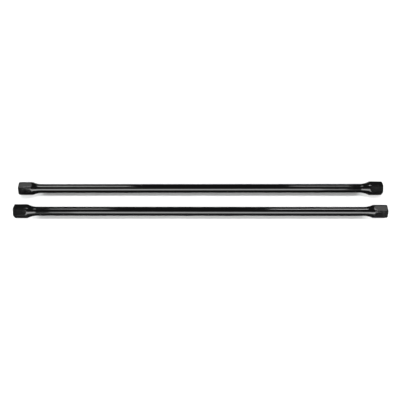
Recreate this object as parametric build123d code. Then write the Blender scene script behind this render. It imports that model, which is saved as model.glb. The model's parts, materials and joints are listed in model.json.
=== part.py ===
from build123d import *
import math
import os

# A left-hand and a right-hand torsion bar, a pair of springs for a front suspension.
# Each bar is one forging: a round spring-steel shaft with an upset hex head on both ends.
# One head seats in the adjuster key, the anchor end, and the other in the lower arm.
# The bars lie side by side on a floor, the right bar being the mirror image of the left.
# Frame: +X along the bars, +Z up, origin on the floor under the middle of the pair.

# Driving dimensions, in millimetres and degrees.
bar_length = 909.0          # over both end faces
shaft_diameter = 22.1
hex_across_flats = 31.75
hex_corner_radius = 6.5     # round on the six long corners of a head
hex_length = 31.0           # end face to where the long corners start to fall into the neck
neck_radius = 50.0          # hollow sweep of the neck, running out into the shaft
end_round = 1.5             # round on the rim of each end face
arm_clocking = 17.5         # turn of the arm head from the anchor head, which lies flat down
bar_spacing = 68.3          # between the two shafts
cutter_margin = 1.0         # how far the turned outline stands outside the hex corners

# Worked out from them.
shaft_radius = shaft_diameter / 2
half_flats = hex_across_flats / 2
corner_circle = (half_flats - hex_corner_radius) / math.cos(math.radians(30))
corner_reach = corner_circle + hex_corner_radius


def neck_run(radius):
    """Length of neck from the shaft up to a radius: the sweep's circle touches the shaft."""
    height = radius - shaft_radius
    return math.sqrt(neck_radius**2 - (neck_radius - height) ** 2)


head_length = hex_length + neck_run(corner_reach)
shaft_length = bar_length - 2 * head_length


def lowest_reach(clocking):
    """Distance from a head's axis down to its lowest point: the round of the corner
    nearest to straight down, which is 30 degrees away when a flat lies down."""
    off_vertical = abs(clocking % 60 - 30)
    return hex_corner_radius + corner_circle * math.cos(math.radians(off_vertical))


def hex_section(clocking):
    """The rounded hexagon across the bar: flat down at 0, then turned about the axis."""
    outline = RegularPolygon(half_flats, 6, major_radius=False)
    outline = fillet(outline.vertices(), hex_corner_radius)
    return Plane.YZ * Rot(0, 0, -clocking) * outline


def neck_outline():
    """Half outline that is revolved and cuts the hexagon down to the hollow neck."""
    outer = corner_reach + cutter_margin
    neck_start = head_length - neck_run(outer)
    neck = TangentArc((head_length, shaft_radius), (neck_start, outer), tangent=(-1, 0))
    corners = [(head_length, shaft_radius), (head_length, 0), (0, 0), (0, outer)]
    return make_face(neck + Polyline(*corners, (neck_start, outer)))


def head(clocking):
    """One upset end: its face at x = 0, the shaft joining it at x = head_length."""
    prism = extrude(hex_section(clocking), head_length)
    rim = prism.faces().sort_by(Axis.X)[0].edges()
    return fillet(rim, end_round) & revolve(neck_outline(), Axis.X)


def bar():
    """One bar level on the X axis: the anchor head at -X, the arm head at +X."""
    end = bar_length / 2
    shaft_start = head_length - end
    shaft = extrude(Plane.YZ.offset(shaft_start) * Circle(shaft_radius), shaft_length)
    return {
        "anchor_hex": Pos(-end, 0, 0) * head(0),
        "shaft": shaft,
        "arm_hex": mirror(Pos(-end, 0, 0) * head(arm_clocking), Plane.YZ),
    }


def laid_down(solid):
    """Set a level bar on the floor. The arm head's corner reaches lower than the anchor
    head's flat, so the bar leans until both heads touch."""
    anchor_drop = lowest_reach(0)
    arm_drop = lowest_reach(arm_clocking)
    anchor_touch = end_round - bar_length / 2
    arm_touch = bar_length / 2 - hex_length
    lean = math.atan2(arm_drop - anchor_drop, arm_touch - anchor_touch)
    rise = anchor_drop * math.cos(lean) - anchor_touch * math.sin(lean)
    return Pos(0, 0, rise) * Rot(0, -math.degrees(lean), 0) * solid


os.makedirs("parts", exist_ok=True)
for section, level_solid in bar().items():
    resting = laid_down(level_solid)
    right_solid = Pos(0, bar_spacing / 2, 0) * resting
    left_solid = Pos(0, -bar_spacing / 2, 0) * mirror(resting, Plane.YZ)
    export_step(left_solid, f"parts/left_{section}.step")
    export_step(right_solid, f"parts/right_{section}.step")
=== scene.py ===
# %% [markdown]
# # A pair of torsion bars
# A torsion bar is a spring made of one straight forging: a round steel shaft whose two ends
# have been upset, that is heated and squashed thicker, into hexagonal heads. One head sits
# in an adjuster key bolted to the frame, the other in the control arm, and the shaft twists.
# The coat is a thick gloss black, so what shows is shape and reflection. Both have to be
# right: the planes of the hexagon, the hollow neck, and the long streaks of light.
#
# The fixed frame comes first. It holds the plain machined shapes, and says where each bar
# lies, so every new surface is built on its axes.

import json
import math

import bpy
import numpy as np
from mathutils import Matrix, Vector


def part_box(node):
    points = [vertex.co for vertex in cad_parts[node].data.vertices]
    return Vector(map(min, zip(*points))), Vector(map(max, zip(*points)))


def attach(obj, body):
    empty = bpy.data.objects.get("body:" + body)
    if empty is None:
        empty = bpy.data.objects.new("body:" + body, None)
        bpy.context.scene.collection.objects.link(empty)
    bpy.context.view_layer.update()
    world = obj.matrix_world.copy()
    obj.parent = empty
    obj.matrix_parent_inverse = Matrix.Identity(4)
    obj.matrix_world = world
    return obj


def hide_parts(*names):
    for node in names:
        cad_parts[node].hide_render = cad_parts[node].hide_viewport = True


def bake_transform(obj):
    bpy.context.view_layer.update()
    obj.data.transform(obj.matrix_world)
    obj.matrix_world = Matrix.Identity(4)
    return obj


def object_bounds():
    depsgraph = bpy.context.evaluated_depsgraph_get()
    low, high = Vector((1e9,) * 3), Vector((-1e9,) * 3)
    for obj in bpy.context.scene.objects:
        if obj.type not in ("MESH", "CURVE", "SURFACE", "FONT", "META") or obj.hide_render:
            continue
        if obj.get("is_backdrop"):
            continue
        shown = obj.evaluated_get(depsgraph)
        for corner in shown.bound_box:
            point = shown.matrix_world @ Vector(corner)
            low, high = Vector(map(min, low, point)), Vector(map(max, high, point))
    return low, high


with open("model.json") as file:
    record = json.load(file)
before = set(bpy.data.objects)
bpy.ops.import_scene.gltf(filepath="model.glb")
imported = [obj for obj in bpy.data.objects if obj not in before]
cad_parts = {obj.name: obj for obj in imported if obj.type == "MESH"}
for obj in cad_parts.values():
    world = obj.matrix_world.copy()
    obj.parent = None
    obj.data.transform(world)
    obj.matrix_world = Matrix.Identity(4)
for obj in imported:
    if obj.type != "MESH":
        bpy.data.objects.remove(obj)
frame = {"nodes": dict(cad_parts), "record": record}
cad_box = [list(corner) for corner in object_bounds()]
mounts = {mount["name"]: mount for mount in frame["record"]["mounts"]}
print("nodes:", sorted(frame["nodes"]))

# %% [markdown]
# ## Where a bar lies
# The heads have one mount each, at the centre of the end face. The line between a bar's two
# mounts is its axis. Each bar leans by about a tenth of a degree, because the arm head rests
# on a corner and the anchor head on a flat, so the cross direction that points up is worked
# out square to the axis and isn't simply +Z.


# %% Axes of a bar
def bar_axes(hand):
    """End face centre of the anchor head, unit vector along the bar, its length, and the two
    cross directions: +Y, and the one square to both that points up."""
    anchor = np.array(mounts[f"{hand}_anchor_hex"]["pos_m"])
    arm = np.array(mounts[f"{hand}_arm_hex"]["pos_m"])
    length = np.linalg.norm(arm - anchor)
    along = (arm - anchor) / length
    side = np.array([0.0, 1.0, 0.0])
    up = np.cross(along, side)
    up *= np.sign(up[2])
    return anchor, along, length, side, up


for hand in ("left", "right"):
    anchor, along, length, side, up = bar_axes(hand)
    lean = math.degrees(math.asin(abs(along[2])))
    print(f"{hand} bar: {length * 1000:.1f} mm long, leaning {lean:.3f} degrees")

# %% [markdown]
# ## Sizes of the forging
# All in metres. The hexagon's width over its corners can be read from the frame, because
# the anchor head lies flat down with two corners level with the axis. The rest are the few
# sizes that shape the head, the same as the machined frame's.

# %% Sizes
MM = 0.001
HALF_FLATS = 15.875 * MM        # axis to a flat
CORNER_RADIUS = 6.5 * MM        # round of the six long corners
SHAFT_RADIUS = 11.05 * MM
HEX_LENGTH = 31.0 * MM          # end face to where the corners fall into the neck
NECK_RADIUS = 50.0 * MM         # hollow sweep of the neck
END_ROUND = 1.5 * MM            # round on the rim of the end face
ARM_CLOCKING = math.radians(17.5)  # turn of the arm head from the anchor head

CORNER_CIRCLE = (HALF_FLATS - CORNER_RADIUS) / math.cos(math.radians(30))
CORNER_REACH = CORNER_CIRCLE + CORNER_RADIUS
NECK_RISE = CORNER_REACH - SHAFT_RADIUS
HEAD_LENGTH = HEX_LENGTH + math.sqrt(NECK_RADIUS**2 - (NECK_RADIUS - NECK_RISE) ** 2)
low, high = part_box("left_anchor_hex")
print(f"over corners: frame {(high.y - low.y) / MM:.2f} mm, here {2 * CORNER_REACH / MM:.2f} mm")

# %% [markdown]
# ## The section across a head
# A head could be a six-sided cylinder with a bevel, but then its faces would be built one
# way and the neck another. Instead the hexagon is written as a distance from the axis for
# every direction. Then it can be compared with any other such distance, and the smaller one
# wins, just as metal is left where no tool or die has taken it away.


# %% Polar radius of the rounded hexagon
def hexagon(angle, clocking, inset=0.0):
    """Distance from the axis to the rounded hexagon drawn in by an inset, which shortens
    half_flats and the corner's round alike. Off the nearest flat's normal by phi it is
    half_flats / cos(phi) on the flat, and on a corner it is the far crossing of a ray with
    a circle of the corner radius centred on the corner circle."""
    half, round_radius = HALF_FLATS - inset, CORNER_RADIUS - inset
    sixth = math.pi / 3
    off_flat = np.abs((angle - math.pi / 2 + clocking + sixth / 2) % sixth - sixth / 2)
    off_corner = sixth / 2 - off_flat
    half_chord = round_radius**2 - (CORNER_CIRCLE * np.sin(off_corner)) ** 2
    corner = CORNER_CIRCLE * np.cos(off_corner) + np.sqrt(np.maximum(half_chord, 0))
    flat_ends = (HALF_FLATS - CORNER_RADIUS) * math.tan(sixth / 2)
    return np.where(half * np.tan(off_flat) <= flat_ends, half / np.cos(off_flat), corner)


section = hexagon(np.linspace(0, 2 * math.pi, 721), 0.0)
print(f"hexagon radius {section.min() / MM:.2f} to {section.max() / MM:.2f} mm")

# %% [markdown]
# ## Along a head
# The end of the bar is sheared or sawn square, so its rim is broken by a small round that
# follows the hexagon, corners and all. That is the same hexagon drawn in, by more and more
# towards the face. A cone turned on a lathe would be easier, but would eat into the corners
# far more than the flats.
#
# The upsetting die also lets the metal fall away a little towards the end, a quarter of a
# millimetre over the last twelve. It can't be seen as shape, but each flat then catches
# light from further round the room near its end.
#
# The neck is one hollow sweep: a circle that touches the shaft and climbs to the corners.

# %% Profile of the head
COLUMNS = 216                   # points round the bar, 36 for each side of the hexagon
CROWN_DROP = 0.25 * MM
CROWN_REACH = 12 * MM


def neck(reach):
    """Radius of the turned neck at a distance from the end face: the shaft's, plus the
    height that a circle touching the shaft has climbed going back from the head's end."""
    back = np.clip(HEAD_LENGTH - reach, 0, 0.98 * NECK_RADIUS)
    return SHAFT_RADIUS + NECK_RADIUS - np.sqrt(NECK_RADIUS**2 - back**2)


def crown(reach):
    """How far the flats have fallen away: a parabola that starts one crown reach from the
    end face and is deepest at the face."""
    return CROWN_DROP * np.clip(1 - reach / CROWN_REACH, 0, 1) ** 2


def head_rows():
    """Rows as (distance from the end face, inset of the hexagon, share of its radius): out
    across the face, a quarter turn round the rim, then along, closest where the neck cuts
    into the hexagon."""
    rows = [(0.0, END_ROUND, share) for share in (0.2, 0.4, 0.6, 0.76, 0.88, 0.95, 0.985)]
    for bend in np.linspace(0, math.pi / 2, 9):
        rows.append((END_ROUND * (1 - math.cos(bend)), END_ROUND * (1 - math.sin(bend)), 1.0))
    stretches = [(4 * MM, 0.5), (HEX_LENGTH - 3 * MM, 1.4), (HEX_LENGTH + 13 * MM, 0.4)]
    stretches += [(HEAD_LENGTH, 1.1)]
    for finish, step in stretches:
        start = rows[-1][0]
        count = max(1, round((finish - start) / (step * MM)))
        rows += [(reach, 0.0, 1.0) for reach in np.linspace(start, finish, count + 1)[1:]]
    return np.array(rows)


ROWS = head_rows()
print(f"a head has {len(ROWS)} rows of {COLUMNS} points, neck {neck(HEX_LENGTH) / MM:.2f} mm")

# %% [markdown]
# ## The surface
# At each row and direction the surface is the smaller of outline and hexagon. A plain
# smaller-of leaves a sharp line where they cross, the scalloped edge. The smooth one takes
# a little more away within a short band of the crossing, so the edge gets a round.
#
# A forging isn't perfect either: its faces swell and sink by a few hundredths of a
# millimetre, which nobody sees as shape, but the reflections wander with it. That is done
# in the mesh too, as a sum of a few waves that run in different directions.


# %% Smooth smaller-of, and the forging's unevenness
def smooth_min(a, b, band):
    """The smaller of a and b, less a cubic hump where they differ by under the band."""
    near = np.maximum(band - np.abs(a - b), 0) / band
    return np.minimum(a, b) - near**3 * band / 6


def unevenness(points, feature, seed, waves=9):
    """Sum of sine waves through space, about one feature size long, from -1 to 1 or so."""
    rng = np.random.default_rng(seed)
    direction = rng.normal(size=(waves, 3))
    direction /= np.linalg.norm(direction, axis=1)[:, None]
    pitch = feature * rng.uniform(0.7, 1.6, waves)
    phase = rng.uniform(0, 2 * math.pi, waves)
    angle = points @ (direction / pitch[:, None]).T * 2 * math.pi + phase
    return np.sin(angle).sum(-1) / math.sqrt(waves / 2) / 2


def smoothstep(edge0, edge1, x):
    """0 below edge0, 1 above edge1, and an even S between them."""
    t = np.clip((x - edge0) / (edge1 - edge0), 0, 1)
    return t * t * (3 - 2 * t)


print("smooth min of 1.0 and 1.2 with a band of 1:", round(float(smooth_min(1.0, 1.2, 1.0)), 4))

# %% [markdown]
# ## From a grid to a mesh
# Every piece here is a tube: rows of points round the axis, closed at each end by one point
# on the axis. So one function makes them all. The section faces, where a head was parted
# from the shaft in the frame, keep a sharp rim, so the coat shades straight on across it.


# %% Mesh of a closed tube
def tube_mesh(name, grid, poles, sharp_rows=()):
    """Grid of rows x columns points and two pole points to a closed mesh. Quads join each
    row to the next, triangles join the end rows to the poles, and if the volume comes out
    negative all faces are turned over, so that they point outwards."""
    rows, columns, _ = grid.shape
    index = np.arange(rows * columns).reshape(rows, columns)
    beside = np.roll(index, -1, axis=1)
    quads = np.stack([index[:-1], beside[:-1], beside[1:], index[1:]], -1).reshape(-1, 4)
    first, last = rows * columns, rows * columns + 1
    ends = [
        np.stack([beside[0], index[0], np.full(columns, first)], -1),
        np.stack([index[-1], beside[-1], np.full(columns, last)], -1),
    ]
    triangles = np.concatenate(ends)
    points = np.concatenate([grid.reshape(-1, 3), poles])
    a, b, c = (points[triangles[:, k]] for k in range(3))
    p, q, r, s = (points[quads[:, k]] for k in range(4))
    volume = np.einsum("ij,ij->", a, np.cross(b, c)) / 6
    volume += np.einsum("ij,ij->", p, np.cross(q, r) + np.cross(r, s)) / 6
    if volume < 0:
        quads, triangles = quads[:, ::-1], triangles[:, ::-1]
    mesh = bpy.data.meshes.new(name)
    mesh.from_pydata(points, [], quads.tolist() + triangles.tolist())
    mesh.polygons.foreach_set("use_smooth", np.ones(len(mesh.polygons), bool))
    if sharp_rows:
        pairs = np.empty(2 * len(mesh.edges), np.int32)
        mesh.edges.foreach_get("vertices", pairs)
        row = pairs.reshape(-1, 2) // columns
        rim = np.isin(row[:, 0], [k % rows for k in sharp_rows]) & (row[:, 0] == row[:, 1])
        mesh.attributes.new("sharp_edge", "BOOLEAN", "EDGE").data.foreach_set("value", rim)
    mesh.update()
    piece = bpy.data.objects.new(name, mesh)
    bpy.context.scene.collection.objects.link(piece)
    print(f"{name}: {len(quads) * 2 + len(triangles)} triangles, {abs(volume) * 1e6:.1f} cm3")
    return piece


def store(piece, name, values):
    """One number for each point of a piece, which its material can read by name."""
    attribute = piece.data.attributes.new(name, "FLOAT", "POINT")
    attribute.data.foreach_set("value", np.asarray(values, np.float32))


def store_place(piece):
    """The place of each point at rest, in metres, as an attribute called rest."""
    place = np.empty(3 * len(piece.data.vertices), np.float32)
    piece.data.vertices.foreach_get("co", place)
    attribute = piece.data.attributes.new("rest", "FLOAT_VECTOR", "POINT")
    attribute.data.foreach_set("vector", place)


def around():
    """Directions round a bar, in radians from its side direction towards up."""
    return np.linspace(0, 2 * math.pi, COLUMNS, endpoint=False)


# %% [markdown]
# ## Heads
# Each point of a head keeps four things for its material. One number says how far it is
# forged: 1 on the hexagon, falling to 0 where the neck has become plain shaft. Another says
# how close it is to an edge, where the coat is drawn thin and gets handled. A third marks
# the end face, which is sawn and not forged. The last is its place at rest, so that grain
# stays in the metal however the bar is twisted.

# %% Build a head
EDGE_BAND = 1.1 * MM            # band over which the neck rounds into the flats
HEAD_SWELL = 0.03 * MM          # height of the forging's unevenness
HEAD_FEATURE = 17 * MM
SEEDS = {"left_anchor": 3, "left_arm": 5, "right_anchor": 7, "right_arm": 11}


def head(hand, end):
    """One head: radius the smooth smaller of neck and drawn-in hexagon, less the crown, plus
    a little unevenness that fades out down the neck and towards the axis."""
    anchor, along, length, side, up = bar_axes(hand)
    face = anchor if end == "anchor" else anchor + along * length
    inwards = along if end == "anchor" else -along
    clocking = 0.0 if end == "anchor" else ARM_CLOCKING
    angle = around()
    reach, inset, share = (ROWS[:, k, None] for k in range(3))
    hexed = hexagon(angle[None, :], clocking, inset) - crown(reach)
    turned = neck(reach)
    radius = smooth_min(turned, hexed, EDGE_BAND) * share
    radius[-1] = SHAFT_RADIUS
    across = np.cos(angle)[:, None] * side + np.sin(angle)[:, None] * up
    base = face + reach[..., None] * inwards
    grid = base + radius[..., None] * across[None]
    forged = 1 - smoothstep(HEX_LENGTH, HEAD_LENGTH, reach)
    swell = unevenness(grid, HEAD_FEATURE, SEEDS[f"{hand}_{end}"]) - 1
    swell *= smoothstep(0, 6 * MM, radius) * forged * HEAD_SWELL
    grid = base + (radius + swell)[..., None] * across[None]
    poles = np.array([face, face + HEAD_LENGTH * inwards])
    piece = tube_mesh(f"{hand}_{end}_head", grid, poles, sharp_rows=[-1])
    crossing = 1 - smoothstep(0, 0.6 * MM, np.abs(turned - hexed))
    rim = smoothstep(0.9, 1, share) * (1 - smoothstep(0.7 * END_ROUND, 1.4 * END_ROUND, reach))
    corner = smoothstep(0.9, 1, (hexed - HALF_FLATS) / (CORNER_REACH - HALF_FLATS))
    corner = corner * smoothstep(-1 * MM, 0, turned - hexed)
    edge = np.maximum(np.maximum(0.6 * crossing, rim), 0.35 * corner) * forged
    store(piece, "forged", np.append(np.broadcast_to(forged, radius.shape).ravel(), [1, 0]))
    store(piece, "edge", np.append(edge.ravel(), [0, 0]))
    cut = (1 - smoothstep(0.95, 1, share)) * np.ones_like(radius)
    store(piece, "cut", np.append(cut.ravel(), [1, 0]))
    store_place(piece)
    return piece


# %% [markdown]
# ## Shafts
# The shaft is plain, but it is what carries the long streaks of light, so it is a fine tube
# too, with a row every five millimetres.

# %% Build a shaft
SHAFT_STEP = 5 * MM
SHAFT_SWELL = 0.012 * MM
SHAFT_FEATURE = 90 * MM


def shaft(hand):
    """Round tube between the heads. Its swell fades to nothing at both ends, where the
    heads' last rows have to meet it point for point."""
    anchor, along, length, side, up = bar_axes(hand)
    span = length - 2 * HEAD_LENGTH
    reach = HEAD_LENGTH + np.linspace(0, span, round(span / SHAFT_STEP) + 1)
    angle = around()
    across = np.cos(angle)[:, None] * side + np.sin(angle)[:, None] * up
    base = anchor + reach[:, None, None] * along
    grid = base + SHAFT_RADIUS * across[None]
    from_ends = np.minimum(reach - HEAD_LENGTH, HEAD_LENGTH + span - reach)[:, None]
    swell = unevenness(grid, SHAFT_FEATURE, 23) - 1
    swell *= smoothstep(0, 40 * MM, from_ends) * SHAFT_SWELL
    grid = base + (SHAFT_RADIUS + swell)[..., None] * across[None]
    poles = np.array([base[0, 0], base[-1, 0]])
    piece = tube_mesh(f"{hand}_round_shaft", grid, poles, sharp_rows=[0, -1])
    store(piece, "forged", np.zeros(len(piece.data.vertices)))
    store(piece, "edge", np.zeros(len(piece.data.vertices)))
    store(piece, "cut", np.zeros(len(piece.data.vertices)))
    store_place(piece)
    return piece


pieces = {}
for hand in ("left", "right"):
    for end in ("anchor", "arm"):
        pieces[f"{hand}_{end}_hex"] = head(hand, end)
    pieces[f"{hand}_shaft"] = shaft(hand)

# %% [markdown]
# ## Building shader nodes
# The materials are all arithmetic on a few noises, so three small helpers keep them short:
# one adds a node and plugs its inputs, one does a sum, and one opens a node group with named
# inputs. An effect that both materials need is a group, written once and tuned by each.


# %% Node helpers
def add(tree, kind, inputs=None, **settings):
    """New node in a tree. Inputs are keyed by socket name or number, and each is either an
    output socket to link from or a constant."""
    node = tree.nodes.new(kind)
    for name, value in settings.items():
        setattr(node, name, value)
    for key, value in (inputs or {}).items():
        if isinstance(value, bpy.types.NodeSocket):
            tree.links.new(value, node.inputs[key])
        else:
            node.inputs[key].default_value = value
    return node


def calc(tree, operation, *values):
    """Output of a maths node on up to three values."""
    return add(tree, "ShaderNodeMath", dict(enumerate(values)), operation=operation).outputs[0]


def spread(tree, value, low, high, to_low=0.0, to_high=1.0):
    """Value eased from low..high onto to_low..to_high, and held beyond both ends."""
    sockets = {"Value": value, "From Min": low, "From Max": high}
    sockets.update({"To Min": to_low, "To Max": to_high})
    kind = dict(interpolation_type="SMOOTHSTEP")
    return add(tree, "ShaderNodeMapRange", sockets, **kind).outputs["Result"]


def noise(tree, place, size, detail=2.0, stretch=(1, 1, 1)):
    """Noise from 0 to 1 with features of one size in metres, or a socket giving the size,
    longer along an axis that has a stretch above 1."""
    pace = calc(tree, "DIVIDE", 1.0, size)
    drawn = tuple(1 / way for way in stretch)
    squeezed = add(tree, "ShaderNodeVectorMath", {0: place, 1: drawn}, operation="MULTIPLY")
    inputs = {"Vector": squeezed.outputs[0], "Scale": pace, "Detail": detail}
    return add(tree, "ShaderNodeTexNoise", inputs).outputs[0]


def open_group(name, inputs, outputs):
    """Shader node group with named inputs as (name, default), the place at rest always the
    first, and named value outputs. Returns the tree, its input sockets and its output node."""
    tree = bpy.data.node_groups.new(name, "ShaderNodeTree")
    tree.interface.new_socket("Place", in_out="INPUT", socket_type="NodeSocketVector")
    for label, default in inputs:
        kind = dict(in_out="INPUT", socket_type="NodeSocketFloat")
        tree.interface.new_socket(label, **kind).default_value = default
    for label in outputs:
        tree.interface.new_socket(label, in_out="OUTPUT", socket_type="NodeSocketFloat")
    return tree, tree.nodes.new("NodeGroupInput").outputs, tree.nodes.new("NodeGroupOutput")


# %% [markdown]
# ## What a sprayed black forging looks like close to
# Five things break up a gloss coat. Sprayed enamel dries with a faint ripple, called orange
# peel. Under it the drawn shaft keeps fine lines along its length, and the forged head keeps
# a skin of scale and shallow pits. The end faces keep the strokes of the saw that cut them.
# Last, the coat has been handled: it is duller in soft patches, and thin along the edges.
#
# The first four are heights of a few thousandths of a millimetre, up to a few hundredths for
# the saw. So they show in the reflections and not in the outline. The last gives two masks.

# %% Surface groups
peel, given, result = open_group("orange_peel", [("Ripple", 0.0018)], ["Height"])
peel.links.new(noise(peel, given["Place"], given["Ripple"], 1.0), result.inputs["Height"])

drawn, given, result = open_group("drawing_lines", [("Spacing", 0.0007)], ["Height"])
lines = noise(drawn, given["Place"], given["Spacing"], 2.0, stretch=(130, 1, 1))
drawn.links.new(lines, result.inputs["Height"])

sawn, given, result = open_group("saw_marks", [("Pitch", 0.0006)], ["Height"])
strokes = noise(sawn, given["Place"], given["Pitch"], 2.0, stretch=(1, 40, 1))
sawn.links.new(strokes, result.inputs["Height"])

skin, given, result = open_group("forged_skin", [("Grain", 0.0035), ("Pits", 0.6)], ["Height"])
swells = noise(skin, given["Place"], given["Grain"], 3.0)
small = noise(skin, given["Place"], calc(skin, "MULTIPLY", given["Grain"], 0.45), 2.0)
pits = calc(skin, "MULTIPLY", spread(skin, small, 0.60, 0.72), given["Pits"])
skin.links.new(calc(skin, "SUBTRACT", swells, pits), result.inputs["Height"])

handled, given, result = open_group("handling", [("Patch", 0.03), ("Edge", 0.0)], ["Rub", "Thin"])
patches = spread(handled, noise(handled, given["Place"], given["Patch"], 3.0), 0.50, 0.68)
smear = noise(handled, given["Place"], 0.0022, 3.0, stretch=(6, 1, 1))
rub = calc(handled, "MULTIPLY", patches, spread(handled, smear, 0.35, 0.65, 0.4, 1.0))
broken = spread(handled, noise(handled, given["Place"], 0.0012, 3.0), 0.36, 0.62)
handled.links.new(rub, result.inputs["Rub"])
thin = calc(handled, "MULTIPLY", given["Edge"], broken)
handled.links.new(thin, result.inputs["Thin"])
print("groups:", sorted(group.name for group in (peel, drawn, sawn, skin, handled)))

# %% [markdown]
# ## The two coats
# Shaft and heads are sprayed together, so both materials are the same black enamel. They
# differ by what lies under it, and the head's fades into the shaft's down the neck, by the
# forged number, so no line shows where the two pieces meet. Where the coat is thin on an
# edge it is a shade lighter and duller.
#
# A gloss black has almost no colour of its own. Lighter than this it looks like dark plastic.

# %% Shades, roughness and heights of the coat
BLACK = (0.0018, 0.0018, 0.0019, 1.0)
THIN_BLACK = (0.018, 0.0175, 0.017, 1.0)
SHAFT_ROUGHNESS, HEAD_ROUGHNESS = 0.065, 0.13
SHAFT_DULLED, HEAD_DULLED = 0.05, 0.12    # added where handled
THIN_DULLED = 0.10                        # added where the coat is thin
PEEL_HEIGHT, LINE_HEIGHT = 2.5e-6, 0.6e-6
SKIN_HEIGHT, SAW_HEIGHT = 8.0e-6, 2.5e-5
print(f"saw marks are {SAW_HEIGHT / MM:.3f} mm deep, orange peel {PEEL_HEIGHT / MM:.4f} mm")


# %% The coat
def coat(name):
    """Black enamel over drawn or forged steel. Colour goes from black to thin black by the
    thin mask. Roughness goes from the shaft's to the head's by the forged number, plus what
    handling adds. The bump is a sum of heights in metres, each times where it belongs."""
    material = bpy.data.materials.new(name)
    material.use_nodes = True
    tree = material.node_tree
    shader = tree.nodes["Principled BSDF"]
    place = add(tree, "ShaderNodeAttribute", attribute_name="rest").outputs["Vector"]
    forged = add(tree, "ShaderNodeAttribute", attribute_name="forged").outputs["Fac"]
    edge = add(tree, "ShaderNodeAttribute", attribute_name="edge").outputs["Fac"]
    cut = add(tree, "ShaderNodeAttribute", attribute_name="cut").outputs["Fac"]

    def effect(group, output, **values):
        """Place a node group with its own values. Gives one output, or all if None."""
        node = add(tree, "ShaderNodeGroup", node_tree=group)
        tree.links.new(place, node.inputs["Place"])
        for label, value in values.items():
            if isinstance(value, bpy.types.NodeSocket):
                tree.links.new(value, node.inputs[label])
            else:
                node.inputs[label].default_value = value
        return node.outputs if output is None else node.outputs[output]

    wear = effect(handled, None, Patch=0.03, Edge=edge)
    mix = add(tree, "ShaderNodeMix", data_type="RGBA")
    tree.links.new(wear["Thin"], mix.inputs["Factor"])
    mix.inputs[6].default_value, mix.inputs[7].default_value = BLACK, THIN_BLACK
    tree.links.new(mix.outputs[2], shader.inputs["Base Color"])
    rough = spread(tree, forged, 0.0, 1.0, SHAFT_ROUGHNESS, HEAD_ROUGHNESS)
    dulled = spread(tree, forged, 0.0, 1.0, SHAFT_DULLED, HEAD_DULLED)
    rough = calc(tree, "ADD", rough, calc(tree, "MULTIPLY", wear["Rub"], dulled))
    rough = calc(tree, "ADD", rough, calc(tree, "MULTIPLY", wear["Thin"], THIN_DULLED))
    tree.links.new(rough, shader.inputs["Roughness"])
    height = calc(tree, "MULTIPLY", effect(peel, "Height", Ripple=0.0018), PEEL_HEIGHT)
    plain = calc(tree, "SUBTRACT", 1.0, forged)
    fine = calc(tree, "MULTIPLY", effect(drawn, "Height", Spacing=0.0007), LINE_HEIGHT)
    height = calc(tree, "ADD", height, calc(tree, "MULTIPLY", fine, plain))
    scale = effect(skin, "Height", Grain=0.0035, Pits=0.6)
    rough_skin = calc(tree, "MULTIPLY", scale, SKIN_HEIGHT)
    scaled = calc(tree, "MULTIPLY", forged, calc(tree, "SUBTRACT", 1.0, cut))
    height = calc(tree, "ADD", height, calc(tree, "MULTIPLY", rough_skin, scaled))
    strokes = calc(tree, "MULTIPLY", effect(sawn, "Height", Pitch=0.0006), SAW_HEIGHT)
    height = calc(tree, "ADD", height, calc(tree, "MULTIPLY", strokes, cut))
    bump = add(tree, "ShaderNodeBump", {"Strength": 1.0, "Distance": 1.0, "Height": height})
    tree.links.new(bump.outputs["Normal"], shader.inputs["Normal"])
    shader.inputs["IOR"].default_value = 1.5
    print(f"{name}: {len(tree.nodes)} nodes")
    return material


shaft_coat = coat("gloss_black_shaft")
head_coat = coat("semi_gloss_black_head")

# %% Coat the pieces and put them in the place of the machined ones
for node, piece in pieces.items():
    piece.data.materials.append(shaft_coat if node.endswith("shaft") else head_coat)
    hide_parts(node)
    print(f"{piece.name} stands for {node}, in {piece.data.materials[0].name}")

# %% [markdown]
# ## What moves with what
# A head is stiff, so it follows the body at its own end. A real torsion bar winds up along
# its shaft, between the heads; here the shaft is baked where it lies and follows no body.

# %% Ride
for hand in ("left", "right"):
    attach(pieces[f"{hand}_anchor_hex"], f"{hand}_anchor_end")
    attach(pieces[f"{hand}_arm_hex"], f"{hand}_arm_end")
    anchor, along, length, side, up = bar_axes(hand)
    end = anchor + along * (length - HEAD_LENGTH)
    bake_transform(pieces[f"{hand}_shaft"])

# %% [markdown]
# ## Floor
# The floor is white and has no visible end. To reflections alone it is painted a dark grey
# near the bars, a painted shade that the enamel mirrors strongly where it curves under, so
# the lower edges of both bars stay dark and don't wash out. Beside the bars and past their
# ends this painted reflected floor is lighter again, which is what the end faces mirror. Far
# off, the floor glows by itself, so that it stays white from any side.

# %% Floor sheet
scene = bpy.context.scene
scene.view_settings.view_transform = "Standard"
scene.view_settings.look = "None"
FLOOR_HALF = 6.0
floor_mesh = bpy.data.meshes.new("floor")
corners = [(-FLOOR_HALF, -FLOOR_HALF, 0), (FLOOR_HALF, -FLOOR_HALF, 0)]
corners += [(FLOOR_HALF, FLOOR_HALF, 0), (-FLOOR_HALF, FLOOR_HALF, 0)]
floor_mesh.from_pydata(corners, [], [(0, 1, 2, 3)])
floor = bpy.data.objects.new("floor", floor_mesh)
scene.collection.objects.link(floor)
floor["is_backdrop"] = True
print(f"floor {2 * FLOOR_HALF:.0f} m square")

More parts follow.
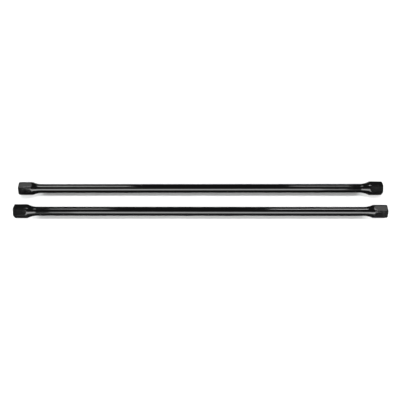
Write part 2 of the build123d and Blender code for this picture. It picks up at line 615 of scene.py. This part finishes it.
# %% Floor paper
PAPER_SHADE = 0.9                         # what the camera and the light see
# painted shade: the floor as the bars reflect it, dark next to them and lighter further off
PAINTED_SHADE_NEAR, PAINTED_SHADE_FAR = 0.045, 0.34       # what reflections see
paper = bpy.data.materials.new("white_paper")
paper.use_nodes = True
paper_shader = paper.node_tree.nodes["Principled BSDF"]
sheet = paper.node_tree
spot = add(sheet, "ShaderNodeTexCoord").outputs["Object"]
ways = add(sheet, "ShaderNodeSeparateXYZ", {0: spot}).outputs
past_ends = calc(sheet, "SUBTRACT", calc(sheet, "ABSOLUTE", ways["X"]), 0.47)
past_sides = calc(sheet, "SUBTRACT", calc(sheet, "ABSOLUTE", ways["Y"]), 0.06)
away = calc(sheet, "MAXIMUM", past_ends, past_sides)
mirrored_path = add(sheet, "ShaderNodeLightPath").outputs["Is Glossy Ray"]
# painted reflected shade: glossy rays see the floor dark near the bars, lighter away from them
painted_reflected_shade = spread(sheet, away, 0.0, 0.10, PAINTED_SHADE_NEAR, PAINTED_SHADE_FAR)
shades = {"Factor": mirrored_path, 2: PAPER_SHADE, 3: painted_reflected_shade}
shade = add(sheet, "ShaderNodeMix", shades).outputs[0]
sheet.links.new(shade, paper_shader.inputs["Base Color"])
direct = calc(sheet, "SUBTRACT", 1.0, mirrored_path)
glow = calc(sheet, "MULTIPLY", spread(sheet, away, 0.35, 1.3), direct)
sheet.links.new(glow, paper_shader.inputs["Emission Strength"])
paper_shader.inputs["Emission Color"].default_value = (1, 1, 1, 1)
paper_shader.inputs["Roughness"].default_value = 0.9
paper_shader.inputs["Specular IOR Level"].default_value = 0.0
floor_mesh.materials.append(paper)
print(f"paper {PAPER_SHADE} to the eye, {PAINTED_SHADE_NEAR} to {PAINTED_SHADE_FAR} to reflections")

# %% [markdown]
# ## Light
# Gloss black shows nothing but what it mirrors, so each light is placed by what should
# appear in the bar. A point of the bar faced at some angle mirrors one direction of the
# room, so a streak is moved by moving its panel, and ends where its panel ends.
#
# - window: low in front, draws the main streak down the shaft. The sills carry it on, much
#   dimmer, over the anchor head and up to the arm head.
# - back: two hot panels that draw the thin upper streak, and leave it out of the middle.
# - top and ridge: lift the anchor head's upper flat and the corner in front of it.
# - side and low: put a little grey on the arm head's front flat and the dark shaft by it.
#
# The bars are a mirrored pair, and each has its own set, mirrored too, that it alone sees. So
# both arm heads stay dark and both anchor heads are lit.
#
# The overhead pair light only the floor, and the bars don't mirror them. One takes shadows
# from all pieces, the other from the shafts alone, which gives a soft straight band under
# each shaft and only a light shadow under the heads.

# %% Room
world = bpy.data.worlds.new("studio")
world.use_nodes = True
nodes, links = world.node_tree.nodes, world.node_tree.links
seen, lit = nodes["Background"], nodes.new("ShaderNodeBackground")
ROOM = (0.10, 0.10, 0.103, 1)
seen.inputs["Color"].default_value = (1, 1, 1, 1)
lit.inputs["Color"].default_value = ROOM
which, mix = nodes.new("ShaderNodeLightPath"), nodes.new("ShaderNodeMixShader")
links.new(which.outputs["Is Camera Ray"], mix.inputs["Fac"])
links.new(lit.outputs["Background"], mix.inputs[1])
links.new(seen.outputs["Background"], mix.inputs[2])
links.new(mix.outputs["Shader"], nodes["World Output"].inputs["Surface"])
scene.world = world
print(f"room radiance {ROOM[0]:.2f}, seen as white")


# %% Light panels
def softbox(name, direction, distance, size, radiance, sideways=0.0, mirrored=True):
    """Flat light panel that faces the pair. direction is in degrees from level on the
    camera's side, over the top, to level behind. Its power is pi * radiance * area."""
    width, height = size
    data = bpy.data.lights.new(name, "AREA")
    data.shape = "RECTANGLE"
    data.size, data.size_y = width, height
    data.energy = math.pi * radiance * width * height
    panel = bpy.data.objects.new(name, data)
    turn = math.radians(direction)
    panel.location = (sideways, -distance * math.cos(turn), distance * math.sin(turn))
    panel.rotation_euler = (math.pi / 2 - turn, 0, 0)
    panel.visible_camera = False
    panel.visible_glossy = mirrored
    scene.collection.objects.link(panel)
    return panel


def gathered(name, members):
    """A collection that holds these objects as well as wherever else they are."""
    group = bpy.data.collections.new(name)
    for member in members:
        group.objects.link(member)
    return group


def only_on(panel, lit_pieces):
    """Let a panel light these pieces alone."""
    panel.light_linking.receiver_collection = gathered(f"{panel.name}_lights", lit_pieces)


# %% Panels for each bar
FRONT = dict(direction=24, distance=1.6)
for hand, way in (("right", 1), ("left", -1)):
    bar = [piece for node, piece in pieces.items() if node.startswith(hand)]
    windows = [
        softbox(f"window_{hand}", **FRONT, size=(1.58, 0.98), radiance=7.0, sideways=-0.12 * way),
        softbox(
            f"sill_anchor_{hand}", **FRONT, size=(0.26, 0.8), radiance=0.3, sideways=-1.04 * way
        ),
        softbox(f"sill_arm_{hand}", **FRONT, size=(0.12, 0.8), radiance=5.0, sideways=0.73 * way),
    ]
    for window in windows:
        only_on(window, bar + ([floor] if hand == "right" else []))
    panels = [
        softbox(f"back_anchor_{hand}", 113, 1.75, (0.55, 0.25), 19.0, -0.67 * way),
        softbox(f"back_arm_{hand}", 113, 1.75, (0.33, 0.25), 12.0, 0.665 * way),
        softbox(f"top_anchor_{hand}", 124, 1.75, (0.7, 0.38), 1.5, -0.95 * way),
        softbox(f"side_arm_{hand}", 45.4 + 1.6 * way, 1.6, (0.3, 0.26), 1.0, 1.03 * way),
        softbox(f"ridge_anchor_{hand}", 100, 1.75, (0.34, 0.5), 4.5, -1.12 * way),
        softbox(f"low_arm_{hand}", 10, 1.6, (0.12, 0.6), 1.1, 0.85 * way),
    ]
    for panel in panels:
        only_on(panel, bar)
    print(f"{hand} bar: {len(windows) + len(panels)} panels of its own")

# %% Light on the floor, and side cards
OVERHEAD = dict(direction=94, distance=2.0, size=(2.6, 0.7), mirrored=False)
only_on(softbox("overhead", **OVERHEAD, radiance=3.4), [floor])
shaft_shadows = softbox("overhead_shafts", **OVERHEAD, radiance=6.0)
only_on(shaft_shadows, [floor])
shafts = [piece for node, piece in pieces.items() if node.endswith("shaft")]
shaft_shadows.light_linking.blocker_collection = gathered("cast_shadows", shafts)
for name, way in (("left_card", -1), ("right_card", 1)):
    card = softbox(name, 90, 0.55, (1.0, 2.2), 1.2)
    card.location = (way * 2.2, 0, 0.52)
    card.rotation_euler = (0, way * math.pi / 2, 0)

# %% [markdown]
# ## Camera
# It stands well back on a 50 mm lens and looks down at a bit over fifty degrees, so both
# bars are seen whole, with the floor between them.

# %% Camera
ELEVATION = 56.3
DISTANCE = 1.3765
low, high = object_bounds()
middle = (low + high) / 2
lens = bpy.data.cameras.new("camera")
lens.lens, lens.sensor_width = 50, 36
camera = bpy.data.objects.new("camera", lens)
tilt = math.radians(ELEVATION)
back, rise = DISTANCE * math.cos(tilt), DISTANCE * math.sin(tilt)
camera.location = (middle.x - 0.0015, middle.y - back - 0.0013, middle.z + rise)
camera.rotation_euler = (math.pi / 2 - tilt, 0, 0)
scene.collection.objects.link(camera)
scene.camera = camera
print(f"camera {DISTANCE:.2f} m away, looking down {ELEVATION} degrees")

# %% [markdown]
# ## Measure
# The new surfaces have to fill the same space as the machined frame. So the box round them
# is measured and kept beside the box that was measured at the start.

# %% Finish
visual_box = [list(corner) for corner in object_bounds()]
for name, (low, high) in (("frame", cad_box), ("surfaces", visual_box)):
    print(f"{name}:", " x ".join(f"{(b - a) / MM:.2f}" for a, b in zip(low, high)), "mm")
